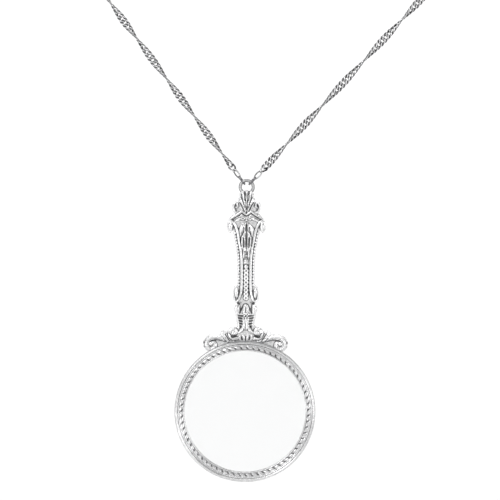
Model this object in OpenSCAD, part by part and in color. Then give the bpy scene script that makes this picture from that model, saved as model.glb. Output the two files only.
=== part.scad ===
// A magnifying glass on a neck chain: a lens in a bordered ring, with a cast handle that hangs from the chain.
// The origin is at the nape, on the inner face of the clasp. +Z is up and the pendant hangs on the -Y side.

/* [Lens] */
// Outside diameter of the ring round the lens
ring_d = 44.5; // [40:0.5:50]
// Width of the ring, from its opening to its outside
ring_w = 3.15; // [2.9:0.05:3.6]
// Depth of the ring, front to back
ring_t = 3.9; // [3.5:0.1:4.6]
// Thickness of the lens at its edge
lens_edge_t = 1.2; // [0.8:0.1:1.5]
// Thickness of the lens in the middle
lens_mid_t = 3.4; // [2.4:0.1:4.5]
// How far the lens reaches into the groove of the ring
lens_hold = 0.8; // [0.5:0.05:1.1]
// Number of beads in the border of the ring
border_beads = 67; // [50:1:72]

/* [Handle] */
// Height of the handle, from the ring to the hole of the loop
handle_h = 47; // [40:0.5:56]
// Width of the handle across its shoulders
handle_w = 11.4; // [10:0.1:13]
// Depth of the handle from its back to its highest relief
handle_t = 3.2; // [2.6:0.1:3.8]
// Thickness of the plate behind the relief
plate_t = 1.9; // [1.4:0.1:2.2]
// Width of the crest across its two large scrolls
crest_w = 26.6; // [24:0.1:29]
// Radius of the raised strands at their thickest
strand_r = 0.72; // [0.6:0.02:0.85]
// Radius of the fine beads along the edges
grain_r = 0.56; // [0.45:0.01:0.65]
// Number of fine beads along each edge
grain_count = 15; // [10:1:18]

/* [Loop and end rings] */
// Diameter of the hole in the loop at the top of the handle
loop_hole_d = 3.1; // [2.9:0.05:3.6]
// Thickness of the metal of the loop
loop_wire_d = 1; // [0.9:0.05:1.2]
// Opening of the end rings that hang in the loop
end_hole_d = 2.4; // [2.2:0.05:2.7]
// Wire of the end rings
end_wire_d = 0.55; // [0.45:0.01:0.65]
// Turn of the end rings about their own length, in degrees
end_turn = 8; // [0:1:10]

/* [Chain] */
// Length of the necklace, once round, with its clasp
necklace_l = 762; // [620:1:860]
// Diameter of the chain
chain_d = 2.4; // [1.8:0.1:2.8]
// Lean of the left side of the chain from upright, in degrees
lean_left = 37; // [25:0.5:45]
// Lean of the right side of the chain from upright, in degrees
lean_right = 42.4; // [25:0.2:46]
// Radius of the bend where the chain turns back over each shoulder
shoulder_r = 25; // [15:1:40]
// Length of the clasp with its two eyes
clasp_l = 15; // [12:0.5:20]
// Diameter of the clasp
clasp_d = 4; // [3:0.1:5]

/* [Hidden] */
$fn = 64;

// Clearances
seat_gap = 0.08;
hang_gap = 0.15;
meet_gap = 0.1;

// The chain runs straight up from the loop, bends back over the shoulders and goes round the neck in a half circle.
lean_sum = 1 / cos(lean_left) + 1 / cos(lean_right);
spread = (tan(lean_left) + tan(lean_right)) / 2;
drop = (necklace_l - shoulder_r * (PI - 2)) / (lean_sum + PI * spread);
neck_r = drop * spread;
pendant_x = drop * (tan(lean_left) - tan(lean_right)) / 2;
nape_y = clasp_d / 2;
front_y = nape_y - neck_r - shoulder_r;

// The loop, and the end rings that hang in it
loop_r = (loop_hole_d + loop_wire_d) / 2;
end_r = (end_hole_d + end_wire_d) / 2;
end_centre = loop_r - loop_wire_d / 2 - hang_gap + end_hole_d / 2;
chain_start = end_centre + end_r + end_wire_d / 2 + meet_gap;

// The pendant, from the middle of the lens
ring_r = ring_d / 2;
opening_r = ring_r - ring_w;
groove_r = opening_r + lens_hold;
lens_r = groove_r - seat_gap;
lens_bulge = (lens_mid_t - lens_edge_t) / 2;
ball_r = (lens_r * lens_r + lens_bulge * lens_bulge) / (2 * lens_bulge);
loop_z = ring_r + handle_h + loop_hole_d / 2;
lens_z = -drop - loop_z;

// The border of the ring: lip, beads, fine ridge, groove and rim, as shares of the ring's width
lip_w = 0.14 * ring_w;
border_w = 0.38 * ring_w;
border_r = opening_r + lip_w + border_w / 2;
border_y = 0.58 * ring_t / 2;
bead_r = 0.46 * border_w;

// Tube sweeping
TUBE_SIDES = 8;
LEG_STEPS = 5;
SHOULDER_STEPS = 10;
NECK_STEPS = 23;
function unit(v) = v / norm(v);
function flat_to(v, t) = unit(v - (v * t) * t);
function heading(p, i) = unit(p[min(i + 1, len(p) - 1)] - p[max(i - 1, 0)]);
function spline(a, b, c, d, t) =
    b + 0.5 * t * (c - a + t * (2 * a - 5 * b + 4 * c - d + t * (3 * (b - c) + d - a)));
function smooth(p, steps) = concat(
    [for (i = [0 : len(p) - 2], k = [0 : steps - 1])
        spline(p[max(i - 1, 0)], p[i], p[i + 1], p[min(i + 2, len(p) - 1)], k / steps)],
    [p[len(p) - 1]]);

// A round tube along 3-D points, with a radius for each, closed at both ends
module tube(points, radii, sides = TUBE_SIDES) {
    n = len(points);
    headings = [for (i = [0 : n - 1]) heading(points, i)];
    first = flat_to([0.11, 1, 0.07], headings[0]);
    normals = [for (i = 0, v = first; i < n; i = i + 1, v = i < n ? flat_to(v, headings[i]) : v) v];
    corners = [for (i = [0 : n - 1], k = [0 : sides - 1])
        points[i] + radii[i] * (cos(360 * k / sides) * normals[i]
            + sin(360 * k / sides) * cross(headings[i], normals[i]))];
    walls = [for (i = [0 : n - 2], k = [0 : sides - 1])
        [i * sides + k, (i + 1) * sides + k, (i + 1) * sides + (k + 1) % sides, i * sides + (k + 1) % sides]];
    ends = [[for (k = [0 : sides - 1]) k], [for (k = [sides - 1 : -1 : 0]) (n - 1) * sides + k]];
    polyhedron(corners, concat(walls, ends), convexity = 4);
}

// The chain's route, side -1 for the left and 1 for the right, at a distance s from the middle of the loop
function leg_l(lean) = drop / cos(lean) - shoulder_r;
function half_l(lean) = leg_l(lean) + shoulder_r * PI / 2 + neck_r * PI / 2;
function on_leg(side, lean, s) = [pendant_x + side * s * sin(lean), front_y, s * cos(lean) - drop];
function on_shoulder(side, lean, turn) = on_leg(side, lean, leg_l(lean) + shoulder_r * sin(turn))
    + [0, shoulder_r * (1 - cos(turn)), 0];
function on_neck(side, turn) = [side * neck_r * cos(turn), nape_y - neck_r + neck_r * sin(turn), 0];
function route(side, lean, s) =
    s < leg_l(lean) ? on_leg(side, lean, s)
    : s < leg_l(lean) + shoulder_r * PI / 2 ? on_shoulder(side, lean, (s - leg_l(lean)) / shoulder_r * 180 / PI)
    : on_neck(side, (s - leg_l(lean) - shoulder_r * PI / 2) / neck_r * 180 / PI);

// A few rings carry the straight leg, and the rest are shared out round the two bends
module chain_half(side, lean) {
    bend = leg_l(lean);
    back = bend + shoulder_r * PI / 2;
    to = half_l(lean) - clasp_l / 2 - meet_gap;
    stations = concat(
        [for (i = [0 : LEG_STEPS - 1]) chain_start + (bend - chain_start) * i / LEG_STEPS],
        [for (i = [0 : SHOULDER_STEPS - 1]) bend + (back - bend) * i / SHOULDER_STEPS],
        [for (i = [0 : NECK_STEPS]) back + (to - back) * i / NECK_STEPS]);
    points = [for (s = stations) route(side, lean, s)];
    tube(points, [for (p = points) chain_d / 2]);
}

// One small wire ring, in line with its side of the chain
module end_ring(side, lean) {
    translate([pendant_x, front_y, -drop])
        rotate([0, side * lean, 0])
            translate([0, 0, end_centre])
                rotate([0, 90, side * end_turn])
                    rotate_extrude() translate([end_r, 0]) circle(end_wire_d / 2);
}

// Motif tables. Each row is [across, up, thickness]: shares of half the handle's width, of its height above the
// ring and of strand_r. A motif is drawn on the right and mirrored to the left.
RAIL = [
    [0.90, 0.727, 0.35], [1.01, 0.748, 0.44], [1.03, 0.772, 0.48], [0.98, 0.793, 0.53], [0.86, 0.804, 0.57],
    [0.72, 0.794, 0.59], [0.59, 0.765, 0.60], [0.50, 0.731, 0.60], [0.42, 0.677, 0.60], [0.35, 0.630, 0.57],
    [0.305, 0.583, 0.57], [0.272, 0.536, 0.57], [0.266, 0.455, 0.57], [0.266, 0.375, 0.57], [0.283, 0.334, 0.57],
    [0.33, 0.301, 0.57], [0.42, 0.274, 0.57], [0.55, 0.261, 0.57], [0.68, 0.273, 0.53], [0.72, 0.301, 0.48],
    [0.715, 0.334, 0.44], [0.64, 0.360, 0.40], [0.54, 0.369, 0.35]];
UPPER_EYE = [[0.88, 0.788, 0.35], [0.88, 0.761, 0.95], [0.85, 0.737, 0.35]];
LOWER_EYE = [[0.53, 0.358, 0.35], [0.53, 0.325, 1.00], [0.52, 0.283, 0.40]];
FAN = [
    [[0.00, 0.859, 0.25], [0.00, 0.946, 0.62], [0.00, 1.003, 0.72]],
    [[0.035, 0.869, 0.25], [0.13, 0.946, 0.62], [0.22, 1.001, 0.68]],
    [[0.055, 0.866, 0.25], [0.24, 0.926, 0.62], [0.35, 0.973, 0.45], [0.37, 0.987, 0.20]],
    [[0.067, 0.859, 0.30], [0.24, 0.896, 0.65], [0.40, 0.936, 0.60], [0.44, 0.956, 0.20]]];
EAR = [
    [0.47, 0.856, 0.40], [0.65, 0.868, 0.53], [0.73, 0.893, 0.57], [0.71, 0.915, 0.57], [0.61, 0.927, 0.53],
    [0.52, 0.917, 0.48], [0.52, 0.899, 0.44], [0.60, 0.894, 0.30]];
BRACKET = [
    [0.00, 0.847, 0.40], [0.11, 0.855, 0.44], [0.24, 0.868, 0.48], [0.36, 0.860, 0.53], [0.55, 0.843, 0.57],
    [0.83, 0.823, 0.57], [0.94, 0.815, 0.44]];
SIDE_LEAF = [[0.28, 0.825, 0.26], [0.44, 0.815, 0.66], [0.64, 0.802, 0.26]];
HUSK = [
    [[0.14, 0.788, 0.26], [0.30, 0.751, 0.83], [0.33, 0.714, 0.30]],
    [[0.08, 0.792, 0.26], [0.14, 0.745, 0.66], [0.20, 0.701, 0.26]],
    [[0.20, 0.711, 0.26], [0.255, 0.671, 0.66], [0.22, 0.624, 0.26]],
    [[0.09, 0.731, 0.26], [0.12, 0.671, 0.57], [0.10, 0.597, 0.26]],
    [[0.14, 0.624, 0.26], [0.11, 0.570, 0.61], [0.02, 0.523, 0.26]]];
SHOULDER = [[0.39, 0.243, 0.53], [0.48, 0.217, 1.14], [0.44, 0.184, 0.66]];
ARCH = [[0.12, 0.180, 0.35], [0.14, 0.217, 0.44], [0.10, 0.239, 0.44], [0.00, 0.246, 0.44]];
STEP = [[0.18, 0.176, 0.35], [0.49, 0.177, 0.40]];
STEM_EDGE = [[0.49, 0.170, 0.35], [0.42, 0.126, 0.35], [0.38, 0.086, 0.35]];
STEM = [[0.00, 0.156, 0.40], [0.00, 0.126, 0.48], [0.00, 0.080, 0.70]];
FOOT = [[0.08, 0.133, 0.26], [0.12, 0.099, 0.61], [0.255, 0.069, 0.75], [0.41, 0.052, 0.35]];

// Crest rows are the same, but their widths are shares of half the crest's width.
CREST_SCROLL = [
    [0.285, -0.006, 0.53], [0.43, 0.003, 0.79], [0.57, 0.020, 1.05], [0.71, 0.026, 1.23], [0.855, 0.017, 1.32],
    [0.93, -0.012, 1.32], [0.91, -0.044, 1.27], [0.815, -0.057, 1.19], [0.73, -0.039, 1.05], [0.745, -0.015, 0.88],
    [0.81, -0.012, 0.70]];
CREST_CURL = [
    [0.15, 0.018, 0.53], [0.24, 0.014, 0.79], [0.33, 0.021, 0.88], [0.38, 0.048, 0.88], [0.35, 0.073, 0.83],
    [0.27, 0.078, 0.79], [0.22, 0.061, 0.70], [0.25, 0.044, 0.57], [0.30, 0.049, 0.44]];
CREST_LEAVES = [
    [[0.40, -0.002, 0.40], [0.475, 0.018, 0.66], [0.535, 0.041, 0.88], [0.56, 0.055, 0.70], [0.53, 0.064, 0.40]],
    [[0.37, 0.002, 0.35], [0.435, 0.022, 0.53], [0.48, 0.047, 0.44], [0.485, 0.060, 0.22]],
    [[0.12, 0.001, 0.40], [0.14, 0.018, 0.57], [0.15, 0.035, 0.35]],
    [[0.03, 0.002, 0.40], [0.045, 0.022, 0.66], [0.06, 0.042, 0.40]]];

// Outline of the plate behind the relief, on the right: [across, up] as shares of half the width and the height
PLATE = [
    [0.48, 0.106], [0.52, 0.140], [0.565, 0.173], [0.59, 0.207], [0.55, 0.234], [0.49, 0.250], [0.61, 0.267],
    [0.665, 0.301], [0.64, 0.341], [0.53, 0.364], [0.40, 0.382], [0.42, 0.442], [0.43, 0.530], [0.48, 0.597],
    [0.54, 0.650], [0.61, 0.704], [0.72, 0.734], [0.92, 0.748], [0.94, 0.798], [0.93, 0.815], [0.86, 0.831],
    [0.665, 0.856], [0.53, 0.862], [0.68, 0.886], [0.675, 0.914], [0.53, 0.925], [0.42, 0.943], [0.37, 0.980],
    [0.31, 1.003], [0.00, 1.010]];
CREST_PLATE = [
    [0.88, -0.055], [0.90, -0.015], [0.81, 0.017], [0.64, 0.033], [0.50, 0.052], [0.38, 0.076], [0.24, 0.096]];

function handle_at(row, y = 0) = [row[0] * handle_w / 2, y, ring_r + row[1] * handle_h];
function crest_at(row, y = 0) = [row[0] * crest_w / 2, y, ring_r + row[1] * handle_h];

module strand(points, shares, steps = 3) {
    path = smooth(points, steps);
    tube(path, [for (share = smooth(shares, steps)) strand_r * share]);
}

module on_handle(rows, steps = 3) {
    strand([for (r = rows) handle_at(r)], [for (r = rows) r[2]], steps);
}

module on_crest(rows, steps = 3) {
    strand([for (r = rows) crest_at(r)], [for (r = rows) r[2]], steps);
}

module both_sides() {
    children();
    mirror([1, 0, 0]) children();
}

// The flat back of the handle, down to an arc inside the rim of the ring
module plate() {
    seat_r = ring_r - 0.3 * ring_w;
    seat_angle = 32;
    seat = [for (a = [0 : 4 : seat_angle]) [seat_r * sin(a), seat_r * cos(a)]];
    crest = [for (r = CREST_PLATE) [crest_at(r)[0], crest_at(r)[2]]];
    handle = [for (r = PLATE) [handle_at(r)[0], handle_at(r)[2]]];
    both_sides()
        rotate([90, 0, 0])
            linear_extrude(plate_t)
                polygon(concat(seat, crest, handle));
}

module fine_beads() {
    first_share = 0.721;
    last_share = 0.375;
    rail = smooth([for (i = [7 : 13]) handle_at(RAIL[i])], 6);
    for (i = [0 : grain_count - 1]) {
        up = ring_r + handle_h * (first_share + (last_share - first_share) * i / (grain_count - 1));
        beside = lookup(up, [for (p = rail) [p[2], p[0]]]);
        translate([beside + strand_r * 0.6 + grain_r * 0.8, 0, up]) sphere(grain_r, $fn = 8);
    }
}

module bead(across, up, share) {
    translate(handle_at([across, up])) sphere(strand_r * share, $fn = 10);
}

// The chain of florets between the rails, under its larger bead
module florets() {
    count = 8;
    first_share = 0.469;
    last_share = 0.288;
    bead(0, 0.497, 1.0);
    for (i = [0 : count - 1]) bead(0, first_share + (last_share - first_share) * i / (count - 1), 0.95);
}

module stem_ribs() {
    count = 4;
    top_share = 0.157;
    bottom_share = 0.103;
    for (i = [0 : count - 1]) {
        up = top_share + (bottom_share - top_share) * i / (count - 1);
        outer = 0.29 + 0.9 * up;
        on_handle([[0.14, up, 0.25], [outer, up + 0.006, 0.30]], 1);
    }
}

module relief() {
    both_sides() {
        for (motif = [RAIL, EAR, BRACKET, SIDE_LEAF, UPPER_EYE, LOWER_EYE]) on_handle(motif, 2);
        for (motif = [SHOULDER, ARCH, FOOT]) on_handle(motif, 2);
        for (motif = [STEP, STEM_EDGE]) on_handle(motif, 1);
        for (frond = [1 : len(FAN) - 1]) on_handle(FAN[frond], 2);
        for (lobe = HUSK) on_handle(lobe, 2);
        on_crest(CREST_SCROLL, 2);
        on_crest(CREST_CURL, 2);
        for (leaf = CREST_LEAVES) on_crest(leaf, 2);
        bead(0.17, 0.823, 0.75);
        stem_ribs();
        fine_beads();
    }
    on_handle(FAN[0], 2);
    on_handle(STEM, 2);
    bead(0, 0.805, 0.60);
    bead(0, 0.165, 0.85);
    florets();
}

// The handle's plate and relief, brought to the handle's depth together
module handle() {
    translate([0, handle_t / 2, 0])
        resize([0, handle_t, 0]) {
            plate();
            translate([0, 0.17 * strand_r - plate_t, 0]) relief();
        }
}

module loop() {
    translate([0, 0, loop_z])
        rotate([90, 0, 0])
            rotate_extrude() translate([loop_r, 0]) circle(loop_wire_d / 2);
}

// Half of the ring's section in front of the middle plane, as [radius, depth] from the opening outwards
module ring_section() {
    half = ring_t / 2;
    lip = opening_r + lip_w;
    bed = lip + border_w;
    rim = bed + 0.12 * ring_w;
    polygon([
        [opening_r, -0.78 * half], [opening_r, 0.78 * half], [lip, 0.80 * half], [lip, border_y],
        [bed, border_y], [bed, 0.84 * half], [rim, 0.84 * half], [rim + 0.02 * ring_w, 0.72 * half],
        [rim + 0.05 * ring_w, 0.86 * half], [rim + 0.15 * ring_w, half], [ring_r - 0.10 * ring_w, 0.94 * half],
        [ring_r - 0.01 * ring_w, 0.66 * half], [ring_r, 0.05 * half], [ring_r - 0.01 * ring_w, -0.66 * half],
        [ring_r - 0.10 * ring_w, -0.94 * half],
        [rim + 0.10 * ring_w, -half], [lip, -0.90 * half]]);
}

module ring_body() {
    rotate([90, 0, 0]) {
        difference() {
            rotate_extrude() ring_section();
            cylinder(h = lens_edge_t + 2 * seat_gap, r = groove_r, center = true);
        }
        for (i = [0 : border_beads - 1])
            rotate(360 * i / border_beads)
                translate([border_r, 0, border_y])
                    sphere(bead_r);
    }
}

module frame() {
    color("silver")
        translate([pendant_x, front_y, lens_z]) {
            ring_body();
            handle();
            loop();
        }
}

module lens() {
    color("lightcyan", 0.5)
        translate([pendant_x, front_y, lens_z])
            rotate([90, 0, 0])
                rotate_extrude($fn = 128)
                    intersection() {
                        translate([0, -lens_mid_t / 2]) square([lens_r, lens_mid_t]);
                        translate([0, lens_mid_t / 2 - ball_r]) circle(ball_r, $fn = 1080);
                        translate([0, ball_r - lens_mid_t / 2]) circle(ball_r, $fn = 1080);
                    }
}

module end_ring_left() {
    color("dimgray") end_ring(-1, lean_left);
}

module end_ring_right() {
    color("dimgray") end_ring(1, lean_right);
}

module chain_left() {
    color("lightgray") chain_half(-1, lean_left);
}

module chain_right() {
    color("lightgray") chain_half(1, lean_right);
}

// A plain barrel with an eye at each end
module clasp() {
    eye_r = 0.35 * clasp_d;
    barrel_l = clasp_l - 4 * eye_r;
    color("silver")
        translate([0, nape_y, 0]) {
            rotate([0, 90, 0])
                rotate_extrude()
                    polygon([
                        [0, -barrel_l / 2 - 0.1 * clasp_d], [0.3 * clasp_d, -barrel_l / 2],
                        [0.5 * clasp_d, -barrel_l * 0.36], [0.5 * clasp_d, barrel_l * 0.36],
                        [0.3 * clasp_d, barrel_l / 2], [0, barrel_l / 2 + 0.1 * clasp_d]]);
            for (side = [-1, 1])
                translate([side * (clasp_l / 2 - eye_r - 0.1 * clasp_d), 0, 0])
                    rotate([90, 0, 0])
                        rotate_extrude() translate([eye_r, 0]) circle(0.1 * clasp_d);
        }
}

frame();
lens();
end_ring_left();
end_ring_right();
chain_left();
chain_right();
clasp();
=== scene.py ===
"""Looks of the magnifier pendant: a cast handle and ring, a clear lens and a twisted neck chain.

The shape functions work in millimetres in the pendant's own frame: x across, y into the scene and z up, all from
the middle of the lens. The chain's functions work in millimetres in the row frame. Meshes are made in metres.
"""

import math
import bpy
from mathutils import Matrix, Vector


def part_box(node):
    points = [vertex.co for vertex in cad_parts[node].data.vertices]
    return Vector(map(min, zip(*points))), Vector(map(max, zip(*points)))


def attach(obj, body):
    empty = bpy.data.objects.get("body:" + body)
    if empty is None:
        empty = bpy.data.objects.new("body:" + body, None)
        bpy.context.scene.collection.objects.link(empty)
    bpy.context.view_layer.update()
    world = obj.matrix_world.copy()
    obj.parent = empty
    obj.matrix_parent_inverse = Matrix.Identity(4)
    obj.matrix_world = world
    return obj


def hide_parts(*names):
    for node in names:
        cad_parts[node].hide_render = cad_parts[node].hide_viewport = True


bl_info = {
    "name": "Magnifier Pendant",
    "version": (1, 0, 0),
    "blender": (4, 5, 0),
    "location": "3D View > Sidebar > Pendant",
    "description": "Builds the visible surfaces, finishes and studio of a magnifier pendant around its fixed frame",
    "category": "Add Mesh",
}

import bpy
import numpy as np
from bpy.props import FloatProperty, FloatVectorProperty, IntProperty, PointerProperty
from mathutils import Matrix

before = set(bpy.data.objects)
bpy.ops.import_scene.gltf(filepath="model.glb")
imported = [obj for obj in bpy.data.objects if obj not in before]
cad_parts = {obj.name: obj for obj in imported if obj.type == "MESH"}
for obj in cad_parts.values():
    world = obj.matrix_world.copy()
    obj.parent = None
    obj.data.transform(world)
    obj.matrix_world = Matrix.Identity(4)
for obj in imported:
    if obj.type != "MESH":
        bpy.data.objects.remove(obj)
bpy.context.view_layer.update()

MM = 0.001
LENS_LOW, LENS_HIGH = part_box("lens")
LENS_CENTRE = np.array((LENS_LOW + LENS_HIGH) / 2) / MM
FRAME_LOW, FRAME_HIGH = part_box("frame")
RING_SPAN = FRAME_HIGH.x - FRAME_LOW.x

# ---------------------------------------------------------------- the casting's motifs
# They are the motifs of the part's source, with finer forms between them. Each row is (across as a share of half
# the width, up as a share of the handle's height over the ring, thickness as a share of the strand's radius). The
# crest's rows take their width from the crest. Only the right half is listed, and the left is its mirror image.

RAIL = (
    (0.90, 0.727, 0.35), (1.01, 0.748, 0.44), (1.03, 0.772, 0.48), (0.98, 0.793, 0.53), (0.86, 0.804, 0.57),
    (0.72, 0.794, 0.59), (0.59, 0.765, 0.60), (0.50, 0.731, 0.60), (0.42, 0.677, 0.60), (0.345, 0.630, 0.59),
    (0.292, 0.583, 0.61), (0.257, 0.536, 0.64), (0.247, 0.455, 0.65), (0.247, 0.375, 0.65), (0.266, 0.334, 0.62),
    (0.32, 0.301, 0.57), (0.41, 0.274, 0.55), (0.53, 0.263, 0.53), (0.635, 0.275, 0.48), (0.672, 0.301, 0.42),
    (0.668, 0.334, 0.38), (0.61, 0.359, 0.35), (0.53, 0.367, 0.31),
)
EYES = (
    ((0.86, 0.790, 0.60), (0.88, 0.764, 1.05), (0.86, 0.740, 0.55)),
    ((0.52, 0.350, 0.50), (0.525, 0.325, 0.82), (0.515, 0.297, 0.62)),
)
FAN = (
    ((0.00, 0.859, 0.25), (0.00, 0.946, 0.62), (0.00, 1.003, 0.72)),
    ((0.035, 0.869, 0.25), (0.13, 0.946, 0.62), (0.22, 1.001, 0.68)),
    ((0.055, 0.866, 0.25), (0.24, 0.926, 0.62), (0.35, 0.973, 0.45), (0.37, 0.987, 0.20)),
    ((0.067, 0.859, 0.30), (0.24, 0.896, 0.65), (0.40, 0.936, 0.60), (0.44, 0.956, 0.20)),
)
EAR = (
    (0.47, 0.856, 0.40), (0.65, 0.868, 0.53), (0.73, 0.893, 0.57), (0.71, 0.915, 0.57), (0.61, 0.927, 0.53),
    (0.52, 0.917, 0.48), (0.52, 0.899, 0.44), (0.60, 0.894, 0.30),
)
BRACKET = (
    (0.00, 0.847, 0.40), (0.11, 0.855, 0.44), (0.24, 0.868, 0.48), (0.36, 0.860, 0.53), (0.55, 0.843, 0.57),
    (0.83, 0.823, 0.57), (0.94, 0.815, 0.44),
)
SIDE_LEAF = ((0.28, 0.825, 0.26), (0.44, 0.815, 0.66), (0.64, 0.802, 0.26))
HUSK = (
    ((0.14, 0.788, 0.26), (0.30, 0.751, 0.83), (0.33, 0.714, 0.30)),
    ((0.08, 0.792, 0.26), (0.14, 0.745, 0.66), (0.20, 0.701, 0.26)),
    ((0.20, 0.711, 0.26), (0.255, 0.671, 0.66), (0.22, 0.624, 0.26)),
    ((0.09, 0.731, 0.26), (0.12, 0.671, 0.57), (0.10, 0.597, 0.26)),
    ((0.14, 0.624, 0.26), (0.11, 0.570, 0.61), (0.02, 0.523, 0.26)),
)
SHOULDER = ((0.42, 0.243, 0.60), (0.49, 0.217, 1.34), (0.46, 0.187, 0.95))
ARCH = ((0.12, 0.180, 0.35), (0.14, 0.217, 0.44), (0.10, 0.239, 0.44), (0.00, 0.246, 0.44))
TONGUE = ((0.00, 0.231, 0.62), (0.00, 0.206, 0.95), (0.00, 0.183, 0.70))
STEP = ((0.18, 0.176, 0.35), (0.49, 0.177, 0.40))
STEM_EDGE = ((0.49, 0.170, 0.35), (0.42, 0.126, 0.35), (0.38, 0.086, 0.35))
STEM = ((0.00, 0.156, 0.40), (0.00, 0.126, 0.48), (0.00, 0.080, 0.70))
FOOT = ((0.08, 0.133, 0.26), (0.12, 0.099, 0.61), (0.255, 0.069, 0.75), (0.41, 0.052, 0.35))
CREST_SCROLL = (
    (0.285, -0.006, 0.53), (0.43, 0.003, 0.79), (0.57, 0.020, 1.05), (0.71, 0.026, 1.23), (0.855, 0.017, 1.32),
    (0.93, -0.012, 1.32), (0.91, -0.044, 1.27), (0.815, -0.057, 1.19), (0.73, -0.039, 1.05), (0.745, -0.015, 0.88),
    (0.81, -0.012, 0.70),
)
CREST_CURL = (
    (0.15, 0.018, 0.53), (0.24, 0.014, 0.79), (0.33, 0.021, 0.88), (0.38, 0.048, 0.88), (0.35, 0.073, 0.83),
    (0.27, 0.078, 0.79), (0.22, 0.061, 0.70), (0.25, 0.044, 0.57), (0.30, 0.049, 0.44),
)
CREST_LEAVES = (
    ((0.40, -0.002, 0.40), (0.475, 0.018, 0.66), (0.535, 0.041, 0.88), (0.56, 0.055, 0.70), (0.53, 0.064, 0.40)),
    ((0.37, 0.002, 0.35), (0.435, 0.022, 0.53), (0.48, 0.047, 0.44), (0.485, 0.060, 0.22)),
    ((0.12, 0.001, 0.40), (0.14, 0.018, 0.57), (0.15, 0.035, 0.35)),
    ((0.03, 0.002, 0.40), (0.045, 0.022, 0.66), (0.06, 0.042, 0.40)),
)
# The plate under the relief, as corners without a thickness: its edge up the handle, and before that on the crest.
PLATE = (
    (0.48, 0.106), (0.52, 0.140), (0.565, 0.173), (0.59, 0.207), (0.55, 0.234), (0.49, 0.250), (0.61, 0.267),
    (0.665, 0.301), (0.64, 0.341), (0.53, 0.364), (0.40, 0.382), (0.42, 0.442), (0.43, 0.530), (0.48, 0.597),
    (0.54, 0.650), (0.61, 0.704), (0.72, 0.734), (0.92, 0.748), (0.94, 0.798), (0.93, 0.815), (0.86, 0.831),
    (0.665, 0.856), (0.53, 0.862), (0.68, 0.886), (0.675, 0.914), (0.53, 0.925), (0.42, 0.943), (0.37, 0.980),
    (0.31, 1.003), (0.00, 1.010),
)
CREST_PLATE = (
    (0.88, -0.055), (0.90, -0.015), (0.81, 0.017), (0.64, 0.033), (0.50, 0.052), (0.38, 0.076), (0.24, 0.096),
)
# The ribs across each side of the stem, the lower the shorter: height of the first and the last, and their number.
STEM_RIBS = (0.157, 0.103, 4)

# Round bosses: across share, up share, radius share, form. The balls in the crest's scrolls take the crest's width.
BOSSES = (
    (0.20, 0.820, 0.86, "ringlet"), (0.00, 0.805, 0.60, "dome"), (0.00, 0.497, 1.00, "dome"),
    (0.00, 0.167, 1.15, "knot"),
)
CREST_BALLS = ((0.825, -0.021, 1.10, "dome"), (0.285, 0.052, 1.15, "dome"))
# The row of florets down the middle: height of the first and the last, their number and their radius share.
FLORETS, FLORET_SIZE = (0.469, 0.288, 8), 1.13
# The small beads outside the rails: height of the highest and the lowest, the part of the rail that they follow, and
# their distance from its line as shares of the strand's and of the bead's radius.
GRAINS_FROM, GRAINS_TO, GRAIN_RAIL, GRAIN_OFFSET = 0.721, 0.375, slice(6, 14), (0.65, 1.05)

# Lines cut into the relief: across share, up share, half the cut's width in millimetres.
HANDLE_CUTS = (
    ((0.00, 0.784, 0.20), (0.00, 0.700, 0.22), (0.00, 0.578, 0.17)),
    ((0.16, 0.762, 0.15), (0.14, 0.729, 0.16)),
    ((0.18, 0.729, 0.14), (0.23, 0.713, 0.18), (0.30, 0.696, 0.14)),
    ((0.155, 0.690, 0.20), (0.15, 0.660, 0.22), (0.135, 0.624, 0.14)),
    ((0.31, 0.685, 0.16), (0.295, 0.635, 0.15)),
    ((0.08, 0.600, 0.12), (0.07, 0.545, 0.12)),
    ((0.15, 1.000, 0.14), (0.125, 0.970, 0.15), (0.10, 0.940, 0.10)),
    ((0.055, 0.995, 0.07), (0.045, 0.940, 0.08), (0.020, 0.880, 0.07)),
    ((0.31, 0.965, 0.11), (0.20, 0.929, 0.12), (0.11, 0.893, 0.09)),
    ((0.06, 0.905, 0.08), (0.02, 0.856, 0.10)),
    ((0.40, 0.927, 0.19), (0.285, 0.909, 0.27), (0.195, 0.886, 0.29), (0.12, 0.868, 0.20)),
    ((0.00, 0.836, 0.16), (0.13, 0.842, 0.19), (0.25, 0.853, 0.19), (0.40, 0.842, 0.15), (0.62, 0.826, 0.14)),
    ((0.00, 0.2498, 0.15), (0.12, 0.243, 0.18), (0.205, 0.221, 0.20), (0.33, 0.186, 0.17)),
    ((0.00, 0.226, 0.15), (0.00, 0.190, 0.17)),
    ((0.00, 0.118, 0.05), (0.00, 0.070, 0.07)),
)
CREST_CUTS = (
    ((0.485, 0.046, 0.11), (0.43, 0.020, 0.13), (0.375, -0.003, 0.11)),
    ((0.535, 0.019, 0.10), (0.46, -0.006, 0.10)),
    ((0.375, 0.050, 0.14), (0.30, 0.024, 0.20), (0.205, 0.040, 0.14)),
)
CUT_DEPTH = 0.36

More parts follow.
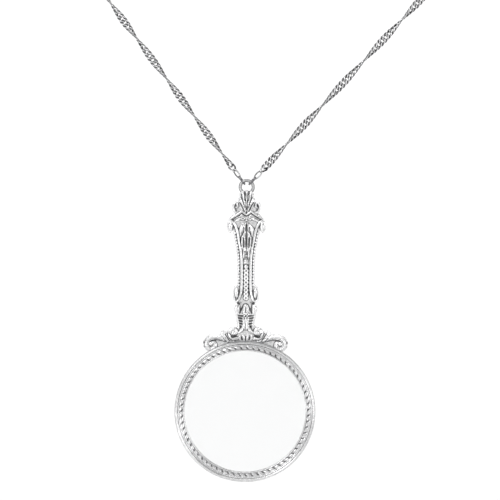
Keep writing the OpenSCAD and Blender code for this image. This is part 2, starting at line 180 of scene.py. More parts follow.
# Spots painted dark as patina, as shade and as dark reflection: across share, up share, radius in millimetres,
# darkness.
HANDLE_PATINA_AND_SHADE = (
    (0.20, 0.820, 0.20, 0.70), (0.33, 0.826, 0.28, 0.50), (0.66, 0.826, 0.55, 0.65), (0.80, 0.816, 0.50, 0.75),
    (0.52, 0.840, 0.45, 0.40), (0.56, 0.878, 0.34, 0.90), (0.59, 0.899, 1.00, 0.45), (0.46, 0.852, 0.36, 0.50),
    (0.11, 0.790, 0.34, 0.80), (0.00, 0.800, 0.30, 0.80), (0.36, 0.791, 0.34, 0.60), (0.00, 0.167, 0.34, 1.50),
    (0.00, 0.150, 0.20, 0.60), (0.40, 0.249, 0.46, 1.20), (0.29, 0.257, 0.36, 0.80), (0.90, 0.700, 0.50, 0.45),
)
CREST_PATINA_AND_SHADE = (
    (0.255, 0.030, 0.62, 0.75), (0.325, 0.026, 0.62, 0.75), (0.465, 0.018, 0.45, 0.50), (1.00, -0.010, 0.55, 1.00),
    (0.985, -0.040, 0.45, 0.70), (0.77, -0.068, 0.60, 1.10), (0.70, -0.050, 0.60, 0.60), (0.60, -0.010, 0.90, 0.30),
    (0.10, 0.008, 1.20, 0.35), (0.35, -0.004, 1.00, 0.45), (0.50, -0.020, 0.90, 0.45), (0.84, -0.003, 0.35, 0.40),
)
# Corners of the panel between the stem's ribs that is painted dark as patina and shade.
STEM_PANEL = ((0.17, 0.177), (0.49, 0.177), (0.40, 0.126), (0.32, 0.082), (0.17, 0.079))

# ---------------------------------------------------------------- measures of the casting, in millimetres
# Heights and depths are measured towards the viewer from the casting's middle plane, and behind it for the back.

STRAND_PLANE = 0.485  # the plane from which the strands and bosses rise
STRAND_RISE = 1.173  # a strand's height over it, as a share of the strand's radius
BOSS_RISE = 1.05  # a ball's height over it, as a share of the ball's radius
PLATE_FRONT = 0.52  # the flat face of the plate that carries the relief
BACK = 1.6  # the flat back, and the most that the relief may rise
EDGE_FRONT = 0.25  # rounding of the outline towards the front
EDGE_BACK = 0.7  # rounding of the outline towards the back
SEAT_RADIUS = 21.3  # where the handle's plate ends, inside the ring's metal
CELL = 0.11  # side of one cell of the relief's grid
GRID_BESIDE, GRID_BELOW = 1.0, 4.6  # how far the grid reaches outside the crest, and below the top of the seat
RIM_SHIFT = 0.09  # the most that a grid point on the rim is moved to reach the outline
LEAST_SLOPE = 0.25  # the least square of the outline's slope that such a move reckons with

# A leaf's groove along its middle (depth as a share of the radius, width) and its veins (depth as a share of the
# radius, distance from one to the next, slant).
MIDRIB_CUT, MIDRIB_WIDTH = 0.30, 0.10
VEIN_CUT, VEIN_STEP, VEIN_SLANT = 0.10, 0.62, 0.9
# The groove along each side of a scroll or curl: depth, place and width, as shares of the radius.
SIDE_GROOVES = {"scroll": (0.28, 0.52, 0.10), "curl": (0.22, 0.40, 0.12)}
# The grained face of a scroll and of the plate: the grain's step and how deep it goes.
SCROLL_GRAIN, SCROLL_GRAIN_CUT = 0.60, 0.20
PLATE_GRAIN, PLATE_GRAIN_CUT = 0.45, 0.05
# The round ridge of a hollow boss: its height, and its place and half its width as shares of the boss's radius.
RIDGES = {"floret": (0.62, 0.60, 0.42), "ringlet": (0.50, 0.62, 0.40), "knot": (0.62, 0.58, 0.44)}
FLORET_LOBES = 6
KNOT_PIT, KNOT_PIT_WIDTH = 0.4, 0.22
STRAND_FILLET, PLATE_FILLET = 0.04, 0.06  # fillets between two strands, and between the relief and its plate
NEAR = 0.4  # how far outside a strand or boss its height is still worked out
BELOW, FAR = -9.0, 99.0  # a height under everything, and a distance beyond everything
POOL_GRAIN, PANEL_FADE = 0.50, 0.12  # step of a pool's speckle, and width of the dark panel's soft edge

# Patina and painted shade gather where a place is lower than the places round it: the reach of the compared
# average in cells, how much lower it has to be, over what further depth it grows, and the most that it may add.
HOLLOWS = ((2, 0.02, 0.15, 1.0), (6, 0.10, 0.60, 0.6))
OUTSIDE_LEVEL = 0.4  # the height that counts outside the outline
EDGE_BRIGHT = 0.2  # width of the rubbed, brighter edge
MARK_PATINA_AND_SHADE = 0.95  # darkness painted in a cut line or pool, as patina and shade
BACK_SHADE = 0.45  # even painted shade over the plain back

# The ring's section, from the inner wall over the front and round the back: radius on a ring of SECTION_RADIUS,
# depth towards the viewer, darkness painted on it as patina in its hollows and as shade on its slopes and back.
SECTION_RADIUS = 22.25
RING_SECTION = (
    (19.10, 0.70, 0.3), (19.10, 1.20, 0.3), (19.12, 1.40, 0.3), (19.18, 1.50, 0.3), (19.28, 1.555, 0.3),
    (19.38, 1.56, 0.3), (19.48, 1.52, 0.3), (19.54, 1.42, 0.35), (19.56, 1.22, 0.5), (19.62, 1.135, 0.7),
    (19.90, 1.131, 0.9), (20.20, 1.131, 0.9), (20.50, 1.131, 0.6), (20.66, 1.135, 0.35), (20.73, 1.20, 0.2),
    (20.78, 1.38, 0.05), (20.84, 1.53, 0.0), (20.92, 1.615, 0.0), (21.00, 1.638, 0.0), (21.07, 1.61, 0.05),
    (21.13, 1.52, 0.2), (21.17, 1.42, 0.6), (21.20, 1.42, 0.6), (21.23, 1.55, 0.35), (21.28, 1.70, 0.1),
    (21.36, 1.83, 0.0), (21.47, 1.92, 0.1), (21.59, 1.95, 0.2), (21.72, 1.935, 0.27), (21.85, 1.89, 0.33),
    (21.95, 1.81, 0.38), (22.05, 1.68, 0.42), (22.13, 1.50, 0.45), (22.19, 1.28, 0.45), (22.23, 0.95, 0.3),
    (22.25, 0.50, 0.0), (22.25, 0.00, 0.0), (22.245, -0.50, 0.0), (22.22, -0.95, 0.0), (22.16, -1.30, 0.3),
    (22.06, -1.58, 0.3), (21.90, -1.79, 0.3), (21.68, -1.91, 0.3), (21.40, -1.95, 0.3), (20.90, -1.95, 0.3),
    (20.40, -1.95, 0.3), (19.90, -1.95, 0.3), (19.60, -1.92, 0.3), (19.35, -1.82, 0.3), (19.20, -1.62, 0.3),
    (19.12, -1.35, 0.3), (19.10, -1.05, 0.1), (19.10, -0.70, 0.5), (19.40, -0.69, 0.8), (19.92, -0.69, 1.0),
    (19.92, 0.69, 1.0), (19.40, 0.69, 0.8),
)
RING_TURNS = 288
# Painted shade on the ring's front under the crest: by how much, within what angle of the top, and outside what
# radius and over what height.
UNDER_CREST, UNDER_CREST_ANGLE, UNDER_CREST_RADIUS, UNDER_CREST_DEPTH = 0.20, 0.42, 20.7, 0.9

# The rope border: radius and height of its middle line, half its width and half its depth, the share of them that is
# left between two beads, and the points on one bead and round the rope.
ROPE_RADIUS, ROPE_HEIGHT, ROPE_WIDE, ROPE_DEEP, ROPE_WAIST = 20.15, 1.10, 0.60, 0.50, 0.60
ROPE_STEPS, ROPE_SIDES = 14, 12
# Its painted shade: darkness of the bright rope, of the row along its middle and of the gaps between the beads
# there, the row's radius and width, and where on half a bead a gap starts and how fast it darkens.
ROPE_DARK, ROW_DARK, GAP_DARK, ROW_RADIUS, ROW_WIDTH, GAP_START, GAP_SPAN = 0.16, 0.22, 0.66, 20.08, 0.33, 0.60, 0.24

# The top loop: points along and round its wire, its painted shade, and a darker line of painted shade on it.
LOOP_LAPS, LOOP_SIDES = 64, 20
LOOP_DARK, LOOP_LINE, LOOP_LINE_HEIGHT, LOOP_LINE_WIDTH = 0.42, 0.5, 0.55, 0.22

LENS_EDGE = 1.2  # thickness of the lens at its rim
LENS_CELLS = 72  # cells of the lens's grid on a side

# ---------------------------------------------------------------- sizes and colours a user would change


class PendantSizes(bpy.types.PropertyGroup):
    """Sizes of the pendant and its chain."""

    ring_diameter: FloatProperty(
        name="Ring diameter", description="Across the outside of the lens ring", default=RING_SPAN,
        min=0.02, max=0.08, unit="LENGTH", subtype="DISTANCE", precision=4,
    )
    handle_height: FloatProperty(
        name="Handle height", description="From the ring's outer edge to the top of the fan", default=0.047,
        min=0.02, max=0.08, unit="LENGTH", subtype="DISTANCE", precision=4,
    )
    handle_width: FloatProperty(
        name="Handle width", description="Across the upper volutes", default=0.0114,
        min=0.005, max=0.02, unit="LENGTH", subtype="DISTANCE", precision=4,
    )
    crest_width: FloatProperty(
        name="Crest width", description="Across the scrolls that rest on the ring", default=0.0266,
        min=0.015, max=0.04, unit="LENGTH", subtype="DISTANCE", precision=4,
    )
    strand_radius: FloatProperty(
        name="Strand radius", description="The radius that the relief's strands are shares of", default=0.00072,
        min=0.0004, max=0.0012, unit="LENGTH", subtype="DISTANCE", precision=5,
    )
    grain_radius: FloatProperty(
        name="Grain radius", description="Radius of the small beads outside the rails", default=0.00047,
        min=0.0003, max=0.0009, unit="LENGTH", subtype="DISTANCE", precision=5,
    )
    border_beads: IntProperty(
        name="Border beads", description="Slanted beads round the ring", default=67, min=30, max=120,
    )
    grain_count: IntProperty(
        name="Grains", description="Small beads on each side of the handle", default=18, min=5, max=25,
    )
    loop_hole: FloatProperty(
        name="Loop hole", description="Inside diameter of the top loop", default=0.0031,
        min=0.002, max=0.006, unit="LENGTH", subtype="DISTANCE", precision=4,
    )
    loop_wire: FloatProperty(
        name="Loop wire", description="Thickness of the top loop", default=0.001,
        min=0.0006, max=0.0015, unit="LENGTH", subtype="DISTANCE", precision=4,
    )
    lean_left: FloatProperty(
        name="Left lean", description="Lean of the left leg from upright", default=math.radians(37.0),
        min=0.2, max=1.2, unit="ROTATION", subtype="ANGLE",
    )
    lean_right: FloatProperty(
        name="Right lean", description="Lean of the right leg from upright", default=math.radians(42.4),
        min=0.2, max=1.2, unit="ROTATION", subtype="ANGLE",
    )
    shoulder_radius: FloatProperty(
        name="Shoulder radius", description="Bend of the chain where it goes back round the neck", default=0.025,
        min=0.01, max=0.05, unit="LENGTH", subtype="DISTANCE", precision=3,
    )
    link_pitch: FloatProperty(
        name="Link pitch", description="Length that one link adds to the chain", default=0.00163,
        min=0.001, max=0.004, unit="LENGTH", subtype="DISTANCE", precision=5,
    )
    link_width: FloatProperty(
        name="Link width", description="Across a link, outside", default=0.00258,
        min=0.001, max=0.004, unit="LENGTH", subtype="DISTANCE", precision=5,
    )
    link_wire: FloatProperty(
        name="Link wire", description="Thickness of a link's wire", default=0.00056,
        min=0.0002, max=0.001, unit="LENGTH", subtype="DISTANCE", precision=5,
    )


class PendantColours(bpy.types.PropertyGroup):
    """Colours of the finishes and of the studio."""

    silver: FloatVectorProperty(
        name="Silver", description="Bright face of the casting", subtype="COLOR", size=4, min=0, max=1,
        default=(0.93, 0.93, 0.935, 1),
    )
    # Colour of the patina and of the painted shade in the casting's hollows.
    patina_and_shade_tone: FloatVectorProperty(
        name="Patina", description="Darkened recesses of the casting", subtype="COLOR", size=4, min=0, max=1,
        default=(0.035, 0.035, 0.038, 1),
    )
    chain: FloatVectorProperty(
        name="Chain", description="Bright faces of the links", subtype="COLOR", size=4, min=0, max=1,
        default=(0.82, 0.82, 0.83, 1),
    )
    # The end rings' dark tone is painted shade, where they sit in the loop's hole.
    wire: FloatVectorProperty(
        name="Ring wire", description="Wire of the two end rings", subtype="COLOR", size=4, min=0, max=1,
        default=(0.22, 0.22, 0.23, 1),
    )
    # The clasp's tone, darker than the chain's, is painted shade.
    clasp: FloatVectorProperty(
        name="Clasp", description="The clasp at the nape", subtype="COLOR", size=4, min=0, max=1,
        default=(0.56, 0.56, 0.57, 1),
    )
    glass: FloatVectorProperty(
        name="Glass", description="Tint of the lens", subtype="COLOR", size=4, min=0, max=1,
        default=(0.93, 0.935, 0.935, 1),
    )
    paper: FloatVectorProperty(
        name="Backdrop", description="Paper of the floor and backdrop", subtype="COLOR", size=4, min=0, max=1,
        default=(0.93, 0.93, 0.93, 1),
    )


# ---------------------------------------------------------------- mesh making


def mesh_piece(name, points, quads, material, crease=None, darkening=None):
    """One object at the origin from points in metres and four-sided faces. Edges sharper than crease stay sharp."""
    mesh = bpy.data.meshes.new(name)
    quads = np.ascontiguousarray(quads, np.int32)
    mesh.vertices.add(len(points))
    mesh.vertices.foreach_set("co", np.ascontiguousarray(points, np.float32).ravel())
    mesh.loops.add(quads.size)
    mesh.loops.foreach_set("vertex_index", quads.ravel())
    mesh.polygons.add(len(quads))
    mesh.polygons.foreach_set("loop_start", np.arange(0, quads.size, 4, dtype=np.int32))
    mesh.update(calc_edges=True)
    if mesh.validate():
        raise RuntimeError(f"{name}: the mesh had faces that are not sound")
    mesh.shade_smooth()
    if crease is not None:
        mesh.set_sharp_from_angle(angle=crease)
    if darkening is not None:
        layer = mesh.attributes.new("patina_and_shade", "FLOAT", "POINT")
        layer.data.foreach_set("value", np.ascontiguousarray(darkening, np.float32))
    mesh.materials.append(material)
    piece = bpy.data.objects.new(name, mesh)
    bpy.context.scene.collection.objects.link(piece)
    return piece


def to_row_frame(points):
    """Moves points from millimetres round the lens centre to metres in the row frame."""
    return (points + LENS_CENTRE) * MM


def tube_quads(rings, sides, flip=False):
    """Faces of a grid of rings x sides points that is closed round its sides and along its path."""
    i = np.arange(rings)[:, None]
    j = np.arange(sides)[None, :]
    near, far = i * sides, ((i + 1) % rings) * sides
    after = (j + 1) % sides
    quads = np.stack([near + j, near + after, far + after, far + j], axis=-1).reshape(-1, 4)
    return quads[:, ::-1] if flip else quads


def rounded_rows(rows, steps):
    """A Catmull-Rom curve through the rows: each span is the cubic that passes its two middle rows with slopes of
    half the chord between their neighbours."""
    rows = np.asarray(rows, float)
    ends = np.vstack([2 * rows[0] - rows[1], rows, 2 * rows[-1] - rows[-2]])
    t = (np.arange(steps) / steps)[None, :, None]
    a, b, c, d = (ends[k:len(ends) - 3 + k, None, :] for k in range(4))
    curve = 0.5 * (2 * b + (c - a) * t + (2 * a - 5 * b + 4 * c - d) * t**2 + (3 * b - a - 3 * c + d) * t**3)
    return np.vstack([curve.reshape(-1, rows.shape[1]), rows[-1]])


# ---------------------------------------------------------------- the cast handle and crest


def soft_max(a, b, blend):
    """The larger of two heights, with a fillet of the given size where they meet."""
    return np.maximum(a, b) + np.clip(blend - np.abs(a - b), 0, None) ** 2 / (4 * blend)


def near_path(x, z, path):
    """For each point: the depth inside the strand (its radius less the distance to its line), that radius, the
    distance, and how far along the line the nearest place is."""
    a, b = path[:-1], path[1:]
    step = b[:, :2] - a[:, :2]
    length2 = (step**2).sum(1) + 1e-12
    dx, dz = x[:, None] - a[:, 0], z[:, None] - a[:, 1]
    t = np.clip((dx * step[:, 0] + dz * step[:, 1]) / length2, 0, 1)
    away = np.hypot(dx - t * step[:, 0], dz - t * step[:, 1])
    radius = a[:, 2] + t * (b[:, 2] - a[:, 2])
    best = np.argmax(radius - away, axis=1)
    row = np.arange(len(x))
    run = np.concatenate([[0], np.cumsum(np.sqrt(length2))])
    along = run[best] + t[row, best] * np.sqrt(length2[best])
    return radius[row, best] - away[row, best], radius[row, best], away[row, best], along


def plate_depth(x, z, corners):
    """Signed depth inside a half plate's outline: the distance to its nearest edge, negative outside it. The edge
    along the middle line is where the two halves join, and doesn't count."""
    a, b = corners, np.roll(corners, -1, axis=0)
    step = b - a
    joined = np.where((a[:, 0] == 0) & (b[:, 0] == 0), FAR, 0.0)
    t = np.clip(((x[:, None] - a[:, 0]) * step[:, 0] + (z[:, None] - a[:, 1]) * step[:, 1])
                / ((step**2).sum(1) + 1e-12), 0, 1)
    away = (np.hypot(x[:, None] - a[:, 0] - t * step[:, 0], z[:, None] - a[:, 1] - t * step[:, 1]) + joined).min(1)
    crosses = (a[:, 1] > z[:, None]) != (b[:, 1] > z[:, None])
    side = x[:, None] < a[:, 0] + step[:, 0] * (z[:, None] - a[:, 1]) / np.where(step[:, 1] == 0, 1e-9, step[:, 1])
    inside = (crosses & side).sum(1) % 2 == 1
    return np.where(inside, away, -away)


def grains(x, z, size):
    """Distance to the nearest point of a jittered grid, as a share of its step: small on a grain, large between. The
    jitter is ten bits each of the cell's two numbers times two large primes."""
    across, up = x / size, z / size
    nearest = np.full(x.shape, FAR)
    for i in (-1, 0, 1):
        for k in (-1, 0, 1):
            cx, cz = np.floor(across).astype(np.int64) + i, np.floor(up).astype(np.int64) + k
            mixed = (cx * 73856093) ^ (cz * 19349663)
            jx, jz = (mixed & 1023) / 1023 - 0.5, ((mixed >> 10) & 1023) / 1023 - 0.5
            nearest = np.minimum(nearest, np.hypot(across - cx - 0.5 - 0.5 * jx, up - cz - 0.5 - 0.5 * jz))
    return nearest


class Casting:
    """Heights of the handle's relief over the plane of the ring, worked out for the right half."""

    def __init__(self, sizes):
        self.ring_radius = sizes.ring_diameter / MM / 2
        self.height = sizes.handle_height / MM
        self.half = sizes.handle_width / MM / 2
        self.crest_half = sizes.crest_width / MM / 2
        self.strand = sizes.strand_radius / MM
        self.grain = sizes.grain_radius / MM
        self.grain_count = sizes.grain_count
        self.strands = self.list_strands()
        self.corners = self.plate_corners()

    def rows(self, table, half, thick=None):
        """A table's shares as millimetres. The third column is a share of thick, or else of the strand's radius."""
        table = np.asarray(table, float)
        out = np.empty_like(table)
        out[:, 0] = table[:, 0] * half
        out[:, 1] = self.ring_radius + table[:, 1] * self.height
        if table.shape[1] == 3:
            out[:, 2] = table[:, 2] * (thick or self.strand)
        return out

    def place(self, share, half):
        """A boss's (x, z, radius, form) in millimetres."""
        across, up, size, form = share
        return across * half, self.ring_radius + up * self.height, size * self.strand, form

    def list_strands(self):
        """(points, form) of every strand. Forms: plain is round, leaf has a groove along its middle and veins, curl
        has a groove along each side, and scroll is also grained."""
        plain = (RAIL, BRACKET, EAR, ARCH, STEP, TONGUE, STEM_EDGE, STEM, SHOULDER) + EYES
        named = [(table, "plain") for table in plain] + [(table, "leaf") for table in (SIDE_LEAF, FOOT) + FAN + HUSK]
        listed = [(rounded_rows(self.rows(table, self.half), 6), form) for table, form in named]
        for up in np.linspace(*STEM_RIBS):
            rib = ((0.14, up, 0.25), (0.29 + 0.9 * up, up + 0.006, 0.30))
            listed.append((self.rows(rib, self.half), "plain"))
        crest = [(CREST_SCROLL, "scroll"), (CREST_CURL, "curl")] + [(leaf, "leaf") for leaf in CREST_LEAVES]
        return listed + [(rounded_rows(self.rows(table, self.crest_half), 6), form) for table, form in crest]

    def plate_corners(self):
        """Corners of the base plate: its seat on the ring, the crest's edge and the handle's edge."""
        turn = np.radians(np.arange(0, 33, 4))
        seat = np.stack([SEAT_RADIUS * np.sin(turn), SEAT_RADIUS * np.cos(turn)], axis=1)
        return np.vstack([seat, self.rows(CREST_PLATE, self.crest_half), self.rows(PLATE, self.half)])

    def list_bosses(self):
        """(x, z, radius, form) of every boss."""
        listed = [self.place(boss, self.half) for boss in BOSSES]
        listed += [self.place((0.0, up, FLORET_SIZE, "floret"), self.half) for up in np.linspace(*FLORETS)]
        listed += [self.place(ball, self.crest_half) for ball in CREST_BALLS]
        rail = self.rows(RAIL, self.half)[GRAIN_RAIL]
        offset = GRAIN_OFFSET[0] * self.strand + GRAIN_OFFSET[1] * self.grain
        for up in np.linspace(GRAINS_FROM, GRAINS_TO, self.grain_count):
            z = self.ring_radius + up * self.height
            listed.append((np.interp(-z, -rail[:, 1], rail[:, 0]) + offset, z, self.grain, "dome"))
        return listed

    def strand_height(self, form, x, z, radius, away, along):
        """A strand's height: half a circle over its width, less the leaf's midrib and veins, or the side grooves of a
        scroll or curl and the scroll's grain."""
        share = np.clip(away / radius, 0, 1)
        rise = STRAND_PLANE + STRAND_RISE * radius * np.sqrt(1 - share**2)
        if form == "leaf":
            rise -= MIDRIB_CUT * radius * np.exp(-(away / MIDRIB_WIDTH) ** 2)
            rise -= VEIN_CUT * radius * (0.5 + 0.5 * np.cos(2 * np.pi * (along / VEIN_STEP + VEIN_SLANT * away)))
        if form == "scroll":
            rise -= SCROLL_GRAIN_CUT * np.clip(grains(x, z, SCROLL_GRAIN) - 0.20, 0, 0.5)
        if form in SIDE_GROOVES:
            depth, place, width = SIDE_GROOVES[form]
            rise -= depth * radius * np.exp(-((share - place) / width) ** 2)
        return rise

    def boss_height(self, form, dx, dz, radius):
        """A boss's height: half a circle over a dome, and else a round ridge, which is cut into lobes on a floret and
        laid in a square with a pit in its middle on a knot."""
        away = np.hypot(dx, dz)
        share = np.clip(away / radius, 0, 1)
        if form == "dome":
            return STRAND_PLANE + BOSS_RISE * radius * np.sqrt(1 - share**2)
        if form == "knot":
            share = np.clip((np.abs(dx) + np.abs(dz)) / radius / 1.1, 0, 1)
        tall, place, width = RIDGES[form]
        ridge = tall * np.sqrt(np.clip(1 - ((share - place) / width) ** 2, 0, 1))
        if form == "floret":
            lobes = 0.5 + 0.5 * np.cos(FLORET_LOBES * np.arctan2(dz, dx))
            return STRAND_PLANE + ridge * (0.8 + 0.2 * lobes)
        if form == "knot":
            return np.where(share < 1, STRAND_PLANE + ridge, BELOW) - KNOT_PIT * np.exp(-(away / KNOT_PIT_WIDTH) ** 2)
        return STRAND_PLANE + ridge

    def marks(self, x, z, height):
        """(height after the cut lines, darkness painted in cuts and pools as patina and shade). A cut is a bell
        across its line, and a pool is a speckled bell about its middle."""
        mark_patina_and_shade = np.zeros(x.shape)
        for table, half in [(cut, self.half) for cut in HANDLE_CUTS] + [(cut, self.crest_half) for cut in CREST_CUTS]:
            _, wide, away, _ = near_path(x, z, rounded_rows(self.rows(table, half, thick=1.0), 6))
            mark = np.exp(-(away / wide) ** 2)
            height -= CUT_DEPTH * mark * np.clip((height - 0.30) / 0.5, 0, 1)
            # Each cut line is painted dark as patina and shade.
            mark_patina_and_shade = np.maximum(mark_patina_and_shade, mark)
        speckle = 0.65 + 0.7 * np.clip(grains(x, z, POOL_GRAIN), 0, 0.7)
        # Each pool is a speckled spot of patina, painted shade and painted dark reflection.
        for table, half in ((HANDLE_PATINA_AND_SHADE, self.half), (CREST_PATINA_AND_SHADE, self.crest_half)):
            for across, up, radius, dark in table:
                away = np.hypot(x - across * half, z - (self.ring_radius + up * self.height))
                mark_patina_and_shade = np.maximum(mark_patina_and_shade, dark * speckle * np.exp(-(away / radius) ** 2))
        # The stem's panel is painted dark as patina and shade, less so on the ribs' tops.
        panel = np.clip(plate_depth(x, z, self.rows(STEM_PANEL, self.half)) / PANEL_FADE, 0, 1)
        mark_patina_and_shade = np.maximum(mark_patina_and_shade, panel * (0.95 - 0.55 * np.clip((height - PLATE_FRONT) / 0.16, 0, 1)))
        return height, mark_patina_and_shade

    def measure(self, x, z):
        """(front height, depth inside the outline, darkness of cuts and pools) at each point, in millimetres. The
        height is the highest of the strands, the bosses and the grained plate, less the cuts, and it is rounded down
        to the outline by a quarter circle."""
        base = plate_depth(x, z, self.corners)
        outline = base.copy()
        height = np.full(x.shape, BELOW)
        for path, form in self.strands:
            reach = path[:, 2].max() + NEAR
            low, high = path[:, :2].min(0) - reach, path[:, :2].max(0) + reach
            at = np.nonzero((x > low[0]) & (x < high[0]) & (z > low[1]) & (z < high[1]))[0]
            if not len(at):
                continue
            inside, radius, away, along = near_path(x[at], z[at], path)
            rise = self.strand_height(form, x[at], z[at], radius, away, along)
            height[at] = np.where(inside > 0, soft_max(height[at], rise, STRAND_FILLET), height[at])
            outline[at] = np.maximum(outline[at], inside)
        for cx, cz, radius, form in self.list_bosses():
            at = np.nonzero(np.hypot(x - cx, z - cz) < radius + NEAR)[0]
            dx, dz = x[at] - cx, z[at] - cz
            away = np.hypot(dx, dz)
            rise = self.boss_height(form, dx, dz, radius)
            height[at] = np.where(away < radius, np.maximum(height[at], rise), height[at])
            outline[at] = np.maximum(outline[at], radius - away)
        grained = PLATE_FRONT - PLATE_GRAIN_CUT * np.clip(grains(x, z, PLATE_GRAIN), 0, 1)
        height = soft_max(height, np.where(base > 0, grained, STRAND_PLANE - 0.1), PLATE_FILLET)
        height, mark_patina_and_shade = self.marks(x, z, height)
        height -= EDGE_FRONT * (1 - np.sqrt(1 - np.clip(1 - outline / EDGE_FRONT, 0, 1) ** 2))
        return np.minimum(height, BACK), outline, mark_patina_and_shade


def blurred(field, reach):
    """The field averaged with a bell of the given reach in cells, first along x and then along z."""
    span = np.arange(-3 * reach, 3 * reach + 1)
    bell = np.exp(-0.5 * (span / reach) ** 2)
    bell /= bell.sum()
    padded = np.pad(field, 3 * reach, mode="edge")
    for axis in (0, 1):
        padded = np.apply_along_axis(lambda line: np.convolve(line, bell, mode="same"), axis, padded)
    return padded[3 * reach:-3 * reach, 3 * reach:-3 * reach]


def relief_grid(sizes):
    """The relief on a square grid: x, z, height, depth inside the outline and darkness of its marks. The right half
    is worked out and mirrored."""
    shape = Casting(sizes)
    across = int(math.ceil((shape.crest_half + GRID_BESIDE) / CELL))
    low, high = SEAT_RADIUS - GRID_BELOW, shape.ring_radius + 1.02 * shape.height
    tall = int(math.ceil((high - low) / CELL))
    x, z = np.meshgrid(np.arange(across + 1) * CELL, low + np.arange(tall + 1) * CELL, indexing="ij")
    height, outline, mark_patina_and_shade = (field.reshape(x.shape) for field in shape.measure(x.ravel(), z.ravel()))
    outline = np.minimum(outline, np.hypot(x, z) - SEAT_RADIUS)
    mirror = lambda field, sign=1: np.vstack([sign * field[:0:-1], field])
    return mirror(x, -1), mirror(z), mirror(height), mirror(outline), mirror(mark_patina_and_shade)


def casting_surface(sizes):
    """Points, faces and darkening of the handle and crest. The relief is a height over a grid; grid points on the
    rim are moved down the slope of the outline's depth onto the outline; the back is a plane with rounded edges."""
    x, z, height, outline, mark_patina_and_shade = relief_grid(sizes)
    middle = (outline[:-1, :-1] + outline[1:, :-1] + outline[1:, 1:] + outline[:-1, 1:]) / 4
    keep = middle > 0
    # Two cells that meet at one corner only are joined, so that the surface has no pinched edge.
    for _ in range(3):
        keep[:-1, 1:] |= keep[:-1, :-1] & keep[1:, 1:] & ~keep[1:, :-1]
        keep[1:, 1:] |= keep[1:, :-1] & keep[:-1, 1:] & ~keep[:-1, :-1]
    framed = np.pad(keep, 1)
    corner_all = framed[:-1, :-1] & framed[1:, :-1] & framed[1:, 1:] & framed[:-1, 1:]
    corner_any = framed[:-1, :-1] | framed[1:, :-1] | framed[1:, 1:] | framed[:-1, 1:]
    rim = corner_any & ~corner_all
    slope_x, slope_z = np.gradient(outline, CELL)
    shift = np.where(rim, outline / np.maximum(slope_x**2 + slope_z**2, LEAST_SLOPE), 0)
    moved_x = x - np.clip(shift * slope_x, -RIM_SHIFT, RIM_SHIFT)
    moved_z = z - np.clip(shift * slope_z, -RIM_SHIFT, RIM_SHIFT)
    edge_height = np.minimum(height, STRAND_PLANE - EDGE_FRONT + 0.05)
    height = np.where(rim & (outline < 0.03), edge_height, height)
    lift = 1 - np.clip(outline / EDGE_BACK, 0, 1)
    lift[rim] = 1
    back = BACK - EDGE_BACK * (1 - np.sqrt(1 - lift**2))

    # Patina and painted shade: darker where a place lies lower than the average round it, less at the outline, with
    # the painted cut lines and pools on top; the plain back gets an even painted shade.
    level = np.where(corner_any, height, OUTSIDE_LEVEL)
    dark = sum(np.clip((blurred(level, reach) - height - lower) / over, 0, most)
               for reach, lower, over, most in HOLLOWS)
    dark = np.clip(dark * np.clip(outline / EDGE_BRIGHT, 0, 1) + MARK_PATINA_AND_SHADE * mark_patina_and_shade, 0, 1)

    count = corner_any.sum()
    index = np.full(corner_any.shape, -1)
    index[corner_any] = np.arange(count)
    points = np.vstack([np.stack([moved_x, depth, moved_z], axis=-1)[corner_any] for depth in (-height, back)])
    lower_left, lower_right, upper_right, upper_left = index[:-1, :-1], index[1:, :-1], index[1:, 1:], index[:-1, 1:]
    front = np.stack([lower_left, lower_right, upper_right, upper_left], axis=-1)[keep]
    walls = []
    for first, second, beside in (
        (lower_left, lower_right, framed[1:-1, :-2]), (lower_right, upper_right, framed[2:, 1:-1]),
        (upper_right, upper_left, framed[1:-1, 2:]), (upper_left, lower_left, framed[:-2, 1:-1]),
    ):
        open_side = keep & ~beside
        a, b = first[open_side], second[open_side]
        walls.append(np.stack([b, a, a + count, b + count], axis=-1))
    quads = np.vstack([front, front[:, ::-1] + count] + walls)
    return points, quads, np.concatenate([dark[corner_any], np.full(count, BACK_SHADE)])


# ---------------------------------------------------------------- the ring, its border and the top loop


def turned(radius, forward, angle):
    """Points at a radius and a height towards the viewer, turned about the lens's axis from its top."""
    return np.stack([radius * np.sin(angle), -forward + 0 * angle, radius * np.cos(angle)], -1)


def circle(steps):
    """Evenly spaced angles once round."""
    return np.arange(steps) * 2 * np.pi / steps


def ring_band(sizes):
    """The ring: its section carried once round the lens."""
    section = np.array(RING_SECTION)
    section[:, 0] += sizes.ring_diameter / MM / 2 - SECTION_RADIUS
    radius, forward, dark = section.T[:, None, :]
    turn = circle(RING_TURNS)[:, None]
    from_top = np.minimum(turn, 2 * np.pi - turn)
    # Painted shade where the crest overhangs the ring's front.
    front = (radius > UNDER_CREST_RADIUS) * (forward > UNDER_CREST_DEPTH)
    dark = dark + UNDER_CREST * np.exp(-(from_top / UNDER_CREST_ANGLE) ** 4) * front
    return turned(radius, forward, turn), tube_quads(RING_TURNS, len(section), flip=True), dark


